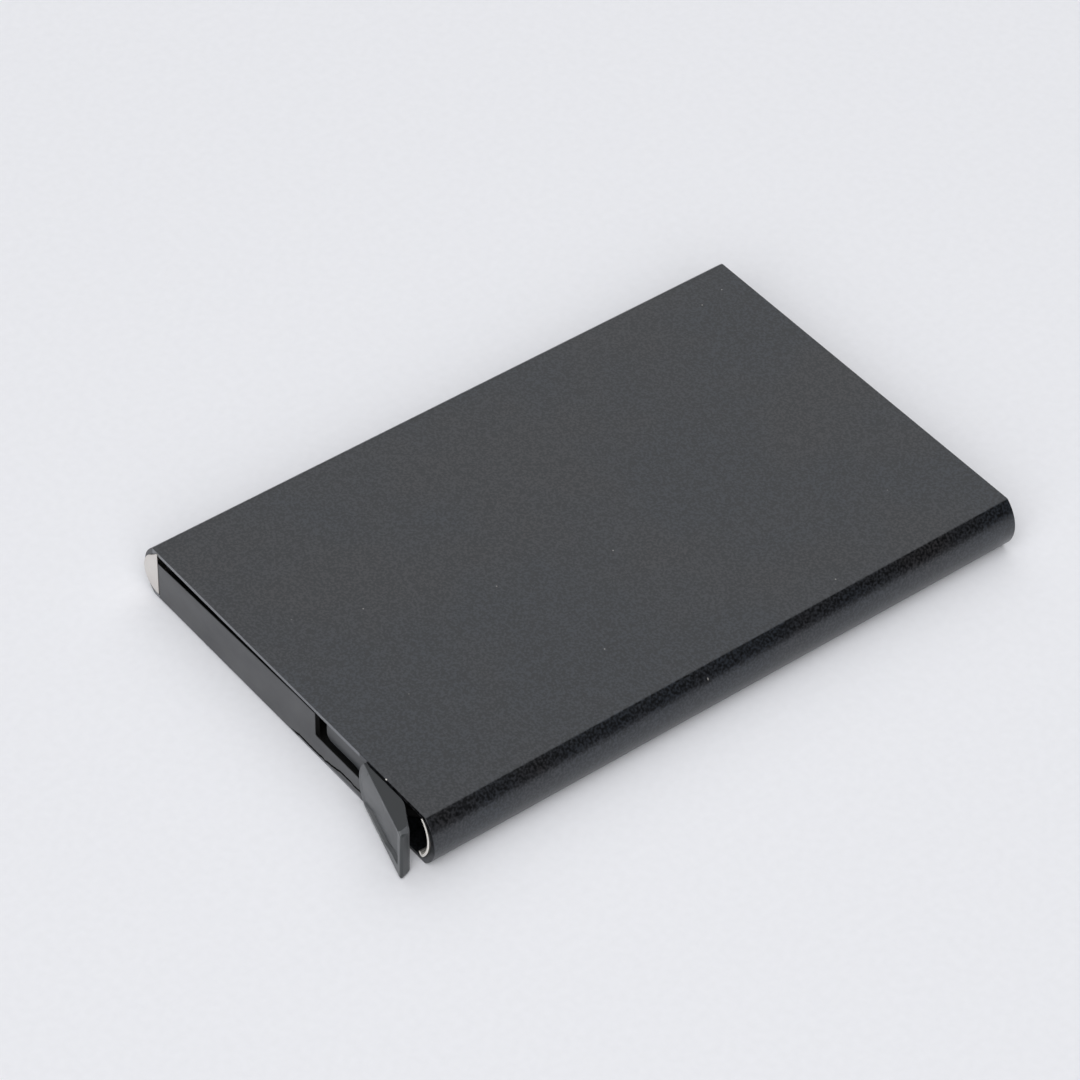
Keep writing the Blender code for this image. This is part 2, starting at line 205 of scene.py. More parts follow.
class Nodes:
    """Small helper that builds a procedural material on object coordinates."""

    def __init__(self, name):
        self.material = bpy.data.materials.new(name)
        self.material.use_nodes = True
        self.tree = self.material.node_tree
        self.shader = self.tree.nodes["Principled BSDF"]
        self.place = self.tree.nodes.new("ShaderNodeTexCoord").outputs["Object"]

    def link(self, output, socket):
        self.tree.links.new(output, socket)

    def stretched(self, scale):
        mapping = self.tree.nodes.new("ShaderNodeMapping")
        mapping.inputs["Scale"].default_value = scale
        self.link(self.place, mapping.inputs["Vector"])
        return mapping.outputs["Vector"]

    def noise(self, size, detail=2.0, roughness=0.5, vector=None):
        node = self.tree.nodes.new("ShaderNodeTexNoise")
        node.inputs["Scale"].default_value = 1.0 / size
        node.inputs["Detail"].default_value = detail
        node.inputs["Roughness"].default_value = roughness
        self.link(vector or self.place, node.inputs["Vector"])
        return node.outputs["Fac"]

    def ramp(self, value, stops):
        node = self.tree.nodes.new("ShaderNodeValToRGB")
        elements = node.color_ramp.elements
        while len(elements) < len(stops):
            elements.new(0.5)
        for element, (position, colour) in zip(elements, stops):
            element.position = position
            element.color = (*colour, 1.0)
        self.link(value, node.inputs["Fac"])
        return node.outputs["Color"]

    def scaled(self, value, low, high, out_low, out_high):
        node = self.tree.nodes.new("ShaderNodeMapRange")
        for socket, number in zip(("From Min", "From Max", "To Min", "To Max"),
                                  (low, high, out_low, out_high)):
            node.inputs[socket].default_value = number
        self.link(value, node.inputs["Value"])
        return node.outputs["Result"]

    def mix(self, share, first, second):
        node = self.tree.nodes.new("ShaderNodeMix")
        node.data_type = "RGBA"
        self.link(share, node.inputs["Factor"])
        for socket, colour in ((node.inputs["A"], first), (node.inputs["B"], second)):
            if isinstance(colour, tuple):
                socket.default_value = (*colour, 1.0)
            else:
                self.link(colour, socket)
        return node.outputs["Result"]

    def math(self, operation, first, second):
        node = self.tree.nodes.new("ShaderNodeMath")
        node.operation = operation
        for socket, value in zip(node.inputs, (first, second)):
            if isinstance(value, float):
                socket.default_value = value
            else:
                self.link(value, socket)
        return node.outputs["Value"]

    def beyond(self, axis, high, low):
        """1 at or past either of two places along an axis, fading to 0 between them."""
        fade = 0.05 * MM
        node = self.tree.nodes.new("ShaderNodeSeparateXYZ")
        self.link(self.place, node.inputs["Vector"])
        place = node.outputs[axis]
        return self.math("MAXIMUM", self.scaled(place, high - fade, high, 0.0, 1.0),
                         self.scaled(place, low + fade, low, 0.0, 1.0))

    def spot(self, centre, radius):
        """1 inside a small blot around a point, fading to 0 outside."""
        node = self.tree.nodes.new("ShaderNodeVectorMath")
        node.operation = "DISTANCE"
        node.inputs[1].default_value = centre
        self.link(self.place, node.inputs[0])
        return self.scaled(node.outputs["Value"], radius, 0.6 * radius, 0.0, 1.0)

    def specks(self, spacing, size):
        """Rare small dots scattered over the X-Y plane."""
        node = self.tree.nodes.new("ShaderNodeTexVoronoi")
        node.voronoi_dimensions = "2D"
        node.inputs["Scale"].default_value = 1.0 / spacing
        self.link(self.place, node.inputs["Vector"])
        dot = self.scaled(node.outputs["Distance"], size / spacing, 0.5 * size / spacing, 0.0, 1.0)
        chosen = self.scaled(node.outputs["Color"], 0.86, 0.88, 0.0, 0.8)
        return self.math("MULTIPLY", dot, chosen)

    def wander(self, pattern, low, high):
        """Roughness that wanders between two values with a noise pattern."""
        self.link(self.scaled(pattern, 0.3, 0.7, low, high), self.shader.inputs["Roughness"])

    def relief(self, height, distance, strength):
        """Fine surface texture, too small to be modelled."""
        node = self.tree.nodes.new("ShaderNodeBump")
        node.inputs["Distance"].default_value = distance
        node.inputs["Strength"].default_value = strength
        self.link(height, node.inputs["Height"])
        self.link(node.outputs["Normal"], self.shader.inputs["Normal"])


def anodised_material():
    """Bead-blasted, black anodised aluminium: fine grain, a few dust specks, and cut ends painted paler,
    partly wear and partly a painted reflection.
    """
    dust = (0.30, 0.29, 0.28)
    # pale colour of the cut ends: partly wear, partly a painted reflection of the floor
    worn_and_lit_edge = (0.135, 0.140, 0.150)
    bare_metal = (0.82, 0.80, 0.76)
    n = Nodes("anodised_aluminium")
    grain = n.noise(0.32 * MM, detail=1.0)
    cloud = n.noise(16.0 * MM, detail=3.0)
    neutral = n.ramp(grain, [(0.42, (0.0002, 0.0002, 0.0003)), (0.62, (0.0208, 0.0199, 0.0212))])
    bluish = n.ramp(grain, [(0.42, (0.0002, 0.0003, 0.0005)), (0.62, (0.0162, 0.0194, 0.0248))])
    skin = n.mix(n.scaled(cloud, 0.4, 0.6, 0.0, 1.0), neutral, bluish)
    dusty = n.mix(n.specks(4.0 * MM, 0.13 * MM), skin, dust)
    # Pale cut ends: partly wear, partly a painted reflection; they stay dark past the lever, as painted
    # shade under the handle, and on the side walls.
    worn_and_lit_ends = n.math("SUBTRACT", n.beyond("Y", MOUTH_Y, END_Y), n.beyond("X", WORN_AND_LIT_RIGHT, -CREASE_X))
    worn_and_lit = n.mix(worn_and_lit_ends, dusty, worn_and_lit_edge)
    n.link(n.mix(n.spot(CHIP, CHIP_RADIUS), worn_and_lit, bare_metal), n.shader.inputs["Base Color"])
    n.wander(cloud, 0.285, 0.315)
    n.shader.inputs["IOR"].default_value = 1.68
    n.shader.inputs["Specular Tint"].default_value = (0.90, 0.94, 1.0, 1.0)
    n.relief(grain, 0.012 * MM, strength=1.0)
    return n.material


def plastic_material(name, dark, light, roughness, faces=(), gloss=0.5):
    """Satin moulded plastic: faint flow marks, handling haze and a fine spark-eroded texture.

    faces lists (axis, high, low, colour) for faces past two places on an axis that get their own tone, used
    as painted shade.
    """
    n = Nodes(name)
    flow = n.noise(3.5 * MM, detail=4.0, roughness=0.6, vector=n.stretched((0.35, 1.0, 1.0)))
    texture = n.noise(0.16 * MM)
    haze = n.noise(7.0 * MM, detail=3.0)
    colour = n.ramp(flow, [(0.3, dark), (0.7, light)])
    # each listed face gets its own colour: painted shade
    for axis, high, low, painted_shade_tone in faces:
        colour = n.mix(n.beyond(axis, high, low), colour, painted_shade_tone)
    n.link(colour, n.shader.inputs["Base Color"])
    n.shader.inputs["Specular IOR Level"].default_value = gloss
    n.wander(haze, roughness - 0.06, roughness + 0.06)
    n.relief(texture, 0.006 * MM, strength=0.5)
    return n.material


def spring_steel_material(name, dark, light, roughness, cut_end=None):
    """Cold-rolled stainless strip: fine rolling lines, slightly warm.

    cut_end is the place along Y of a sheared end, painted near white and non-metallic: the sheared end
    scatters light evenly, and its brightness is also a painted highlight.
    """
    sheared_metal_painted_highlight = (0.95, 0.92, 0.87)
    n = Nodes(name)
    lines = n.noise(0.5 * MM, detail=3.0, roughness=0.65, vector=n.stretched((6.0, 0.12, 6.0)))
    smudge = n.noise(4.0 * MM)
    colour = n.ramp(smudge, [(0.3, dark), (0.7, light)])
    n.shader.inputs["Metallic"].default_value = 1.0
    if cut_end is not None:
        # the sheared end is painted near white: partly its own scatter, partly a painted highlight
        sheared = n.beyond("Y", MOUTH_Y, cut_end)
        colour = n.mix(sheared, colour, sheared_metal_painted_highlight)
        n.link(n.math("SUBTRACT", 1.0, sheared), n.shader.inputs["Metallic"])
    n.link(colour, n.shader.inputs["Base Color"])
    n.wander(lines, roughness - 0.06, roughness + 0.06)
    n.relief(lines, 0.004 * MM, strength=0.5)
    return n.material


def rivet_material():
    """Plain bright steel with faint handling marks."""
    n = Nodes("rivet_steel")
    marks = n.noise(0.6 * MM)
    n.shader.inputs["Base Color"].default_value = (0.52, 0.51, 0.50, 1.0)
    n.shader.inputs["Metallic"].default_value = 1.0
    n.wander(marks, 0.25, 0.38)
    n.relief(marks, 0.004 * MM, strength=0.4)
    return n.material


def floor_material():
    """Matt white paper with a barely visible tooth."""
    n = Nodes("white_paper")
    tooth = n.noise(1.2 * MM, detail=4.0)
    paper = n.ramp(tooth, [(0.3, (0.840, 0.848, 0.885)), (0.7, (0.862, 0.870, 0.908))])
    n.link(paper, n.shader.inputs["Base Color"])
    n.shader.inputs["Roughness"].default_value = 0.9
    n.shader.inputs["Specular IOR Level"].default_value = 0.1
    n.relief(tooth, 0.03 * MM, strength=0.3)
    return n.material


def dress(obj, material, body, slot, *nodes):
    """Give a piece its material, its body and the CAD nodes it stands for; the slot argument is not used."""
    obj.data.materials.clear()
    obj.data.materials.append(material)
    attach(obj, body)
    if nodes:
        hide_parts(*nodes)


# --- sleeve -------------------------------------------------------------------------------------

def tube_section(radius, half_height, corner):
    """Closed section of the flat tube, from the middle of its right side over the top and round."""
    half_angle = asin(half_height / radius)
    step_back = corner / radius
    right = arc((SIDE_CENTRE_X, 0.0), radius, -half_angle + step_back, half_angle - step_back, 40)
    crease = Vector((SIDE_CENTRE_X + radius * cos(half_angle), half_height))
    along_flat = Vector((0.0, half_height))
    top_corner = softened(right[-1], crease, along_flat, corner, 4)[1:]
    flat = [Vector((crease.x * (1 - i / 4), half_height)) for i in range(1, 4)]
    quarter = right[len(right) // 2:] + top_corner + flat
    top_right = quarter + [along_flat]
    bottom_right = [Vector((p.x, -p.y)) for p in reversed(quarter[1:])]
    left_top = [Vector((-p.x, p.y)) for p in reversed(quarter)]
    left_bottom = [Vector((-p.x, -p.y)) for p in quarter[1:]] + [Vector((0.0, -half_height))]
    return top_right + left_top + left_bottom + bottom_right


def wall_path():
    """Way round the wall, as (y, share of the wall from outside to inside), with rounded cut ends."""
    radius = CUT_EDGE * WALL
    turns = [i * pi / 8 for i in range(5)]
    lengths = [END_Y + radius + (MOUTH_Y - END_Y - 2 * radius) * i / 8 for i in range(9)]
    path = [(y, 0.0) for y in lengths]
    path += [(MOUTH_Y - radius + radius * sin(a), CUT_EDGE * (1 - cos(a))) for a in turns[1:]]
    path += [(MOUTH_Y - radius + radius * cos(a), 1 - CUT_EDGE + CUT_EDGE * sin(a)) for a in turns]
    path += [(y, 1.0) for y in reversed(lengths[:-1])]
    path += [(END_Y + radius - radius * sin(a), 1 - CUT_EDGE * (1 - cos(a))) for a in turns[1:]]
    path += [(END_Y + radius - radius * cos(a), CUT_EDGE - CUT_EDGE * sin(a)) for a in turns[:-1]]
    return path


def make_sleeve(material):
    """Shell between two flat tubes, swept round the wall so that both cut ends are rounded."""
    outer = tube_section(SIDE_RADIUS, MID_Z, CREASE_SOFTNESS)
    inner = tube_section(SIDE_RADIUS - SIDE_WALL, MID_Z - WALL, CREASE_SOFTNESS)
    path = wall_path()
    rings = []
    for outside, inside in zip(outer, inner):
        section = [outside.lerp(inside, share) for _, share in path]
        rings.append([Vector((p.x, y, MID_Z + p.y)) for p, (y, _) in zip(section, path)])
    bm = bmesh.new()
    ring_grid(bm, rings, close_rings=True)
    shell = smooth(new_object("sleeve_shell", bm), angle=50.0)
    dress(shell, material, "case", "sleeve", "sleeve")


# --- end cap ------------------------------------------------------------------------------------

FLANGE_FRONT = END_Y - 0.13 * MM
FLANGE_BACK = END_Y - 0.015 * MM
PLUG_FRONT = END_Y + 0.05 * MM
PLUG_BACK = END_Y + 1.0 * MM
PLATE_LEFT = -28.15 * MM
PLATE_TOP = CAVITY_HIGH - 0.08 * MM
PLATE_TOP_LEFT = 6.45 * MM
PLATE_SLOPE_X = 3.0 * MM             # the plate's top slopes down from here to its left end
WINDOW_X = 6.65 * MM
SILL_TOP = 3.7 * MM
SILL_RIGHT = cap_high.x - 6.5 * MM
SEAT = CAVITY_LOW + 0.06 * MM        # inner parts of the cap stand just clear of the sleeve's floor
FLASH_LOW = 0.34 * MM                # height of the flange's ragged lower edge on the left
FLASH_TOOTH = 0.16 * MM
FLASH_INSET = 1.0 * MM               # from the flange's left end to the first point of that edge
FLASH_STEPS = 190
BEAD_INSET = 0.3 * MM
BEAD_DROP = 0.42 * MM                # the bead reaches this far below the ragged edge
LIP_LEFT = 7.8 * MM
LIP_DROP = 0.37 * MM                 # the lip's top lies this far below it and leaves a gap, kept dark by the painted shade of the sheet behind
LIP_STEPS = 60


def flash_line(x, clearance=0.0):
    """Ragged lower edge of the cap's flange: it climbs off the sleeve's floor towards the lever."""
    climb = smoothstep(x, 0.5 * MM, 2.5 * MM)
    rise = 0.58 * MM * climb + 0.77 * MM * smoothstep(x, 7.5 * MM, 5.5 * MM)
    coarse = noise.noise(Vector((x / (0.9 * MM), 3.7, 1.1)))
    fine = noise.noise(Vector((x / (0.33 * MM), 8.2, 5.4)))
    return FLASH_LOW + rise + FLASH_TOOTH * climb * (coarse + 0.7 * fine) - clearance * climb


def flange_outline(left, top, window_x, sill_top, clearance):
    """Front view of the flange: a plate, a low sill under the window, and the ragged lower edge."""
    outline = rounded_outline([
        (SILL_RIGHT, sill_top, 0.3 * MM),
        (window_x, sill_top, 0.25 * MM),
        (window_x, top, 0.05 * MM),
        (PLATE_SLOPE_X, top, 0.0),
        (left, top - (PLATE_TOP - PLATE_TOP_LEFT), 0.15 * MM),
        (left, flash_line(left), 0.3 * MM),
    ])
    start = left + FLASH_INSET
    for i in range(FLASH_STEPS + 1):
        x = start + (SILL_RIGHT - start) * i / FLASH_STEPS
        outline.append(Vector((x, flash_line(x, clearance))))
    return outline


def make_cap_flange(material):
    outline = flange_outline(PLATE_LEFT, PLATE_TOP, WINDOW_X, SILL_TOP, 0.0)
    flange = plate("cap_flange", outline, FLANGE_FRONT, FLANGE_BACK, edge=0.045 * MM, along="Y")
    dress(flange, material, "case", "end_cap", "end_cap")


def make_cap_bead(material):
    """Near-black sheet behind the gap between the flange's ragged edge and the lip: painted shade in that
    gap.
    """
    outline = flange_outline(PLATE_LEFT + BEAD_INSET, PLATE_TOP - BEAD_INSET, WINDOW_X - BEAD_INSET,
                             SILL_TOP - BEAD_INSET, BEAD_DROP)
    bead = plate("cap_gap_shade", outline, FLANGE_FRONT + 0.02 * MM, FLANGE_BACK + 0.005 * MM,
                 edge=0.02 * MM, along="Y")
    dress(bead, material, "case", "end_cap")


def make_cap_lip(material):
    """Narrow lip under the painted-shade gap, resting on the sleeve's floor."""
    outline = [Vector((LIP_LEFT, CAVITY_LOW)), Vector((SILL_RIGHT, CAVITY_LOW))]
    for i in range(LIP_STEPS + 1):
        x = SILL_RIGHT + (LIP_LEFT - SILL_RIGHT) * i / LIP_STEPS
        outline.append(Vector((x, max(flash_line(x, LIP_DROP), SEAT))))
    lip = plate("cap_lip", outline, FLANGE_FRONT + 0.01 * MM, FLANGE_BACK, edge=0.015 * MM, along="Y")
    dress(lip, material, "case", "end_cap")


def make_cap_plug(material):
    """The cap's body inside the sleeve, smaller than the flange all round."""
    left = PLATE_LEFT + 0.4 * MM
    top_left = 4.6 * MM
    top = PLATE_TOP - 1.1 * MM
    window_x = WINDOW_X - 0.5 * MM
    sill_top = 2.3 * MM
    outline = rounded_outline([
        (SILL_RIGHT, sill_top, 0.3 * MM),
        (window_x, sill_top, 0.3 * MM),
        (window_x, top, 0.2 * MM),
        (left, top_left, 0.3 * MM),
        (left, SEAT, 0.3 * MM),
        (SILL_RIGHT, SEAT, 0.3 * MM),
    ])
    plug = plate("cap_plug", outline, PLUG_FRONT, PLUG_BACK, edge=0.10 * MM, along="Y")
    dress(plug, material, "case", "end_cap")


def make_cap_tray(material):
    """Floor that runs in under the lever and the cheek that closes its left side."""
    front = PLUG_BACK - 0.2 * MM
    floor_top = cap_low.z + 0.9 * MM
    cheek_top = 6.0 * MM
    cheek_right = cap_low.x + 1.2 * MM
    floor_outline = rounded_outline([
        (cap_low.x, front, 0.0),
        (SILL_RIGHT, front, 0.0),
        (cap_high.x, cap_high.y - 3.0 * MM, 0.8 * MM),
        (cap_high.x, cap_high.y, 2.5 * MM),
        (cap_low.x, cap_high.y, 0.6 * MM),
    ], 6)
    floor = plate("cap_floor", floor_outline, SEAT, floor_top, edge=0.12 * MM)
    dress(floor, material, "case", "end_cap")
    cheek_outline = rounded_outline([
        (cap_low.x, front, 0.0),
        (cheek_right, front, 0.0),
        (cheek_right, cap_high.y, 0.5 * MM),
        (cap_low.x, cap_high.y, 0.5 * MM),
    ])
    cheek = plate("cap_cheek", cheek_outline, SEAT, cheek_top, edge=0.12 * MM)
    dress(cheek, material, "case", "end_cap")


# --- lever --------------------------------------------------------------------------------------

HANDLE_BACK = END_Y - 0.20 * MM
HANDLE_LOW = lever_low.z
HANDLE_HIGH = lever_high.z
HANDLE_EDGE = 0.14 * MM
HANDLE_ROWS = 104
END_FACE_X = 29.60 * MM              # the flat outer end of the handle lies past this
NOSE_X = 16.35 * MM
NOSE_FRONT = -47.97 * MM
NOSE_FULL_LOW = 4.6 * MM             # the nose is fullest between these two heights
NOSE_FULL_HIGH = 5.0 * MM
CORNER_LOW = Vector((30.12 * MM, -51.63 * MM))       # outer corner before it is rounded, at the bottom
CORNER_HIGH = Vector((29.85 * MM, -51.42 * MM))      # and at the top
HEEL_CORNER = Vector((29.5 * MM, -49.75 * MM))
TURN = Vector((25.6 * MM, HANDLE_BACK))              # where the finger-nail cut leaves the sleeve
END_BEVEL = 0.42 * MM
FACE_COLUMNS = 90
DISH_DEPTH = 0.85 * MM
DISH_LOW = HANDLE_LOW + 0.95 * MM    # the dish's lower edge near the nose
DISH_RISE = 0.62 * MM                # its rise towards the outer end
DISH_HIGH = HANDLE_HIGH - HANDLE_EDGE - 0.06 * MM
GROOVE_DEPTH = 0.20 * MM             # fine groove along the dish's lower edge
GROOVE_HEIGHT = 0.13 * MM
GROOVE_WIDTH = 0.09 * MM


def nose_x(z):
    """Front view of the nose: round, and fullest a little above the middle."""
    below = max(0.0, (NOSE_FULL_LOW - z) / (3.6 * MM))
    above = max(0.0, (z - NOSE_FULL_HIGH) / (3.2 * MM))
    return NOSE_X + 0.75 * MM * below ** 2.2 + 1.25 * MM * above ** 2


def dish(along, z, thickness):
    """Depth of the fingertip dish; along runs 0 to 1 from nose to outer end."""
    floor = DISH_LOW + DISH_RISE * smoothstep(along, 0.58, 0.24)
    floor += 0.5 * MM * max(0.0, 1.0 - along / 0.05) ** 2
    if z <= floor or z >= DISH_HIGH:
        return 0.0
    across = (z - floor) / (DISH_HIGH - floor)
    border = smoothstep(z, floor, 0.14 * MM) * smoothstep(z, DISH_HIGH, -0.16 * MM)
    hollow = 0.42 + 0.58 * sin(pi * across) ** 0.9
    groove = GROOVE_DEPTH * exp(-((z - floor - GROOVE_HEIGHT) / GROOVE_WIDTH) ** 2)
    groove *= smoothstep(along, 0.0, 0.1)
    reach = smoothstep(along, 0.966, -0.045) * smoothstep(along, -0.02, 0.16)
    return min((DISH_DEPTH * border * hollow + groove) * reach, 0.45 * thickness)


def handle_slice(z, inset):
    """Plan of the handle at one height; inset draws it in, for the rounded top and bottom edges."""
    share = (z - HANDLE_LOW) / (HANDLE_HIGH - HANDLE_LOW)
    nose = nose_x(z)
    tip_in = Vector((nose, HANDLE_BACK))
    tip_out = Vector((nose + 0.06 * MM, NOSE_FRONT))
    bevel = Vector((-END_BEVEL * smoothstep(z, 7.15 * MM, 0.95 * MM), 0.0))
    outer = CORNER_LOW.lerp(CORNER_HIGH, share) + bevel
    heel = HEEL_CORNER + bevel
    tip_in_round = softened(TURN, tip_in, tip_out, 0.13 * MM, 4)
    tip_out_round = softened(tip_in, tip_out, outer, 0.13 * MM, 4)
    outer_round = softened(tip_out, outer, heel, 0.62 * MM, 10)
    heel_round = softened(outer, heel, TURN, 0.35 * MM, 6)
    turn_round = softened(heel, TURN, tip_in, 0.9 * MM, 6)
    face = outer_round[0] - tip_out_round[-1]
    inward = Vector((-face.y, face.x)).normalized()
    points = tip_in_round + tip_out_round
    for i in range(1, FACE_COLUMNS):
        along = i / FACE_COLUMNS
        spot = tip_out_round[-1] + face * along
        points.append(spot + inward * dish(along, z, HANDLE_BACK - spot.y))
    points += outer_round + between(outer_round[-1], heel_round[0], 6)
    points += heel_round + between(heel_round[-1], turn_round[0], 6)
    points += turn_round + between(turn_round[-1], tip_in_round[0], 14)
    drawn = []
    for i, point in enumerate(points):
        tangent = points[(i + 1) % len(points)] - points[i - 1]
        normal = Vector((-tangent.y, tangent.x)).normalized()
        # The wedge is thin near the nose, so the rounded edge is drawn in less there.
        thickness = 0.3 * MM + 0.29 * max(0.0, point.x - nose)
        spot = point + normal * min(inset, 0.30 * thickness)
        drawn.append(Vector((spot.x, spot.y, z)))
    return drawn


def make_handle(material):
    """Stack of plans from bottom to top, with the edges rounded by insets."""
    turns = [i * pi / 10 for i in range(6)]
    low = HANDLE_LOW + HANDLE_EDGE
    high = HANDLE_HIGH - HANDLE_EDGE
    rings = [handle_slice(low - HANDLE_EDGE * cos(a), HANDLE_EDGE * (1 - sin(a))) for a in turns]
    rings += [handle_slice(low + (high - low) * i / HANDLE_ROWS, 0.0) for i in range(1, HANDLE_ROWS)]
    rings += [handle_slice(high + HANDLE_EDGE * sin(a), HANDLE_EDGE * (1 - cos(a))) for a in turns]
    bm = bmesh.new()
    verts = ring_grid(bm, rings)
    bm.faces.new(verts[0])
    bm.faces.new(verts[-1])
    handle = smooth(new_object("lever_handle", bm), angle=50.0)
    dress(handle, material, "lever", "lever", "eject_lever")


ARM_LOW = cap_low.z + 1.2 * MM
ARM_HIGH = CAVITY_HIGH - 0.12 * MM
HEEL_FACE = END_Y + 0.60 * MM        # the heel's face, which shows through the window
HEEL_LEFT = 8.1 * MM
HEEL_LOW = 4.0 * MM
STEP_COUNT = 5
STEP_FACE = END_Y + 3.0 * MM         # the steps stand back from the window
STEP_REAR = -39.0 * MM
STEP_REACH = 33.0 * MM               # of the lowest step, from the pivot
STEP_SHORTER = 5.0 * MM              # each step above it is this much shorter
STEP_OVERLAP = 0.1 * MM
STEP_WIDTH = 3.4 * MM                # along Y, at the tip
STEP_FLARE = 11.0 * MM               # from the tip to where the slanted side meets the face
HUB_RADIUS = 3.2 * MM
HUB_EDGE = 0.2 * MM
HUB_RECESS_RADIUS = 2.5 * MM         # sinks the rivet's head
HUB_RECESS_DEPTH = 0.9 * MM


def make_steps(material):
    """Stepped arm behind the window; each step pushes one card."""
    rise = (ARM_HIGH - ARM_LOW) / STEP_COUNT
    for i in range(STEP_COUNT):
        tip = pivot.x - (STEP_REACH - STEP_SHORTER * i)
        outline = rounded_outline([
            (pivot.x, STEP_FACE, 0.0),
            (pivot.x, STEP_REAR, 0.0),
            (tip, STEP_REAR, 1.6 * MM),
            (tip, STEP_REAR - STEP_WIDTH, 1.4 * MM),
            (tip + STEP_FLARE, STEP_FACE, 2.0 * MM),
        ], 6)
        low = ARM_LOW + rise * i - STEP_OVERLAP
        step = plate(f"lever_step_{i + 1}", outline, low, ARM_LOW + rise * (i + 1), edge=0.1 * MM)
        dress(step, material, "lever", "lever")


def make_heel(material):
    """Part of the lever that shows through the cap's window."""
    right = pivot.x + 0.3 * MM
    outline = rounded_outline([
        (HEEL_LEFT, HEEL_LOW, 1.3 * MM),
        (right, HEEL_LOW, 0.0),
        (right, ARM_HIGH, 0.0),
        (HEEL_LEFT, ARM_HIGH, 0.2 * MM),
    ], 6)
    heel = plate("lever_heel", outline, HEEL_FACE, HEEL_FACE + 1.7 * MM, edge=0.12 * MM, along="Y")
    dress(heel, material, "lever", "lever")


def make_hub(material):
    recess_floor = ARM_HIGH - HUB_RECESS_DEPTH
    hub = lathe("lever_hub", [
        (0.0, ARM_LOW), (HUB_RADIUS - HUB_EDGE, ARM_LOW), (HUB_RADIUS, ARM_LOW + HUB_EDGE),
        (HUB_RADIUS, ARM_HIGH - HUB_EDGE), (HUB_RADIUS - HUB_EDGE, ARM_HIGH), (HUB_RECESS_RADIUS, ARM_HIGH),
        (HUB_RECESS_RADIUS, recess_floor), (0.0, recess_floor),
    ], pivot)
    dress(hub, material, "lever", "lever")


def make_neck(material):
    """Bridge from the hub out to the handle."""
    front = HANDLE_BACK - 0.4 * MM
    rear = pivot.y + 0.5 * MM
    outline = rounded_outline([
        (pivot.x, HEEL_FACE, 0.0),
        (17.4 * MM, HEEL_FACE - 0.1 * MM, 0.8 * MM),
        (18.4 * MM, front, 0.0),
        (23.0 * MM, front, 0.0),
        (pivot.x + 3.0 * MM, rear, 1.0 * MM),
        (pivot.x, rear, 0.0),
    ])
    neck = plate("lever_neck", outline, SILL_TOP + 0.25 * MM, ARM_HIGH - 0.02 * MM, edge=0.15 * MM)
    dress(neck, material, "lever", "lever")


# --- steel ---------------------------------------------------------------------------------------

NEAR_END = END_Y - 0.02 * MM
FAR_END = END_Y + 0.02 * MM
STRIP_THICKNESS = 0.38 * MM
STRIP_CENTRE_X = SIDE_CENTRE_X - 1.0 * MM
STRIP_RADIUS = 4.85 * MM
STRIP_LOW_ANGLE = radians(-41)
STRIP_HIGH_ANGLE = radians(44)
STRIP_ROWS = 20
CURL_RADIUS = 0.30 * MM
CURL_SWEEP = radians(128)
CURL_ROWS = 9
CURL_LEG = 0.25 * MM
FINGER_STARTS = (-30.0 * MM, 6.0 * MM)
FINGER_LENGTH = 26.0 * MM
FINGER_X = STRIP_CENTRE_X + STRIP_RADIUS
FINGER_BOW = 2.9 * MM
FINGER_PAST_CREST = 1.18             # the tip lies past the crest of the bow, which is at 1
FINGER_FLATTENING = 3.0              # the finger has lost the strip's curve by a third of the way
FINGER_STEPS = 26
FINGER_ROWS = 4                      # rows of the finger above and below the middle
WINDOW_ROWS = 5                      # rows of its punched opening above and below the middle
WINDOW_LENGTH = FINGER_LENGTH + 1.2 * MM
NUDGE = 0.001 * MM                   # keeps comparisons of places clear of rounding
TAB_X = -28.15 * MM                  # centre of the far tab's round part
TAB_Z = 3.80 * MM
TAB_WIDTH = 3.25 * MM
TAB_RISE = 3.55 * MM
TAB_DROP = 3.0 * MM


def strip_section():
    """Mid-line of the strip's section, from the curled lower lip up to the top edge."""
    wall = arc((STRIP_CENTRE_X, MID_Z), STRIP_RADIUS, STRIP_LOW_ANGLE, STRIP_HIGH_ANGLE, STRIP_ROWS)
    inward = (Vector((STRIP_CENTRE_X, MID_Z)) - wall[0]).normalized()
    centre = wall[0] + inward * CURL_RADIUS
    curl = arc(centre, CURL_RADIUS, STRIP_LOW_ANGLE - CURL_SWEEP, STRIP_LOW_ANGLE, CURL_ROWS)
    return [curl[0] + Vector((0.0, CURL_LEG))] + curl[:-1] + wall


def add_finger(bm, side, start, root):
    """Finger that grows from a row of the strip's own points and bows inwards to grip the cards."""
    previous = root
    for i in range(1, FINGER_STEPS + 1):
        t = FINGER_PAST_CREST * i / FINGER_STEPS
        y = start + FINGER_LENGTH * i / FINGER_STEPS
        bow = FINGER_BOW * 0.5 * (1 - cos(pi * t))
        flatten = min(1.0, t * FINGER_FLATTENING)
        row = []
        for vert in root:
            x = abs(vert.co.x) * (1 - flatten) + FINGER_X * flatten - bow
            row.append(bm.verts.new((side * x, y, vert.co.z)))
        for j in range(len(row) - 1):
            bm.faces.new((previous[j], previous[j + 1], row[j + 1], row[j]))
        previous = row


